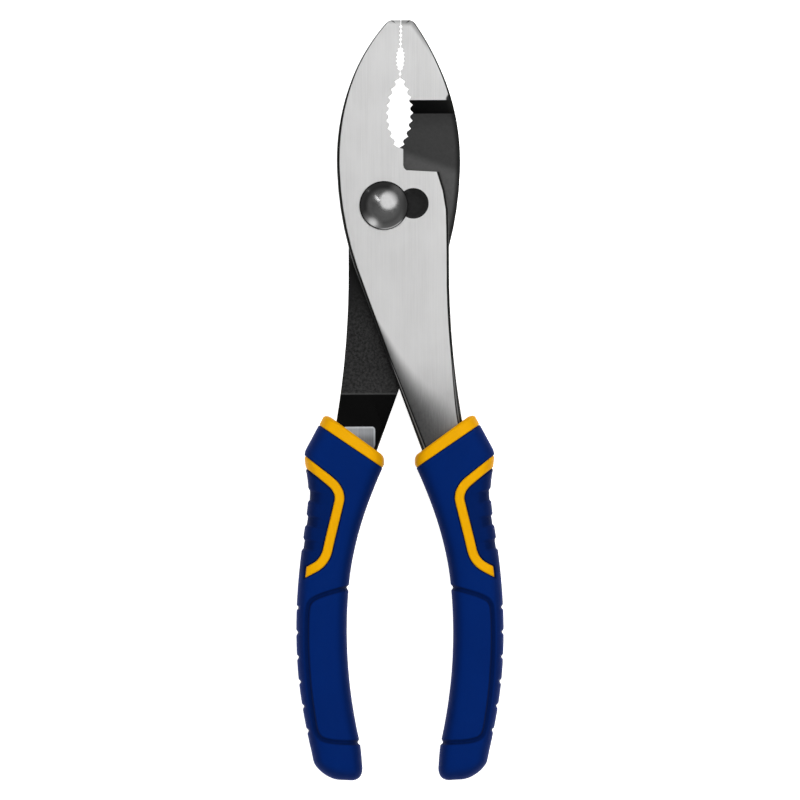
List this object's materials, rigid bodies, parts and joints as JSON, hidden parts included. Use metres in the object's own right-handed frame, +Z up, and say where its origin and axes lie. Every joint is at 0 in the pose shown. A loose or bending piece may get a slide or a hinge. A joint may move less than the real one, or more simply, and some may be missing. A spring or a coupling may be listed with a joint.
{
  "type": "slip joint pliers",
  "caption": "Slip joint pliers with lapped forged halves, toothed jaws with a pipe grip, a domed pivot bolt in a figure-8 slot and bowed two-material grips.",
  "frame": {"origin": "pivot axis at the table plane: centre of the flush end of the pivot bolt, on the back of the nut", "axes": "+Y along the tool towards the jaws, +X to the right as seen from the front, +Z up out of the front face, along the pivot axis"},
  "size_m": [0.0553, 0.2033, 0.016],
  "materials": {
    "bright_steel": "satin brushed",
    "dark_steel": "black oxide with ground faces",
    "bolt_steel": "dark polished",
    "washer_steel": "zinc plated",
    "core_plastic": "satin moulded",
    "sleeve_rubber": "soft touch"
  },
  "bodies": {
    "pinned_handle": {"pinned_half": "dark_steel", "pivot_bolt": "bolt_steel", "pivot_nut": "bolt_steel", "pinned_grip_core": "core_plastic", "pinned_grip_sleeve": "sleeve_rubber"},
    "pivot_carrier": {"pivot_washer": "washer_steel"},
    "slotted_handle": {"slotted_half": "bright_steel", "slotted_grip_core": "core_plastic", "slotted_grip_sleeve": "sleeve_rubber"}
  },
  "joints": [
    {"name": "jaw_pivot", "type": "hinge", "parent": "pinned_handle", "child": "pivot_carrier", "pos_m": [0, 0, 0.008], "axis": [0, 0, 1], "range_deg": [0, 60]},
    {"name": "slip", "type": "slide", "parent": "pivot_carrier", "child": "slotted_handle", "axis": [-0.9977, -0.068, 0], "range_m": [0, 0.0079]}
  ]
}
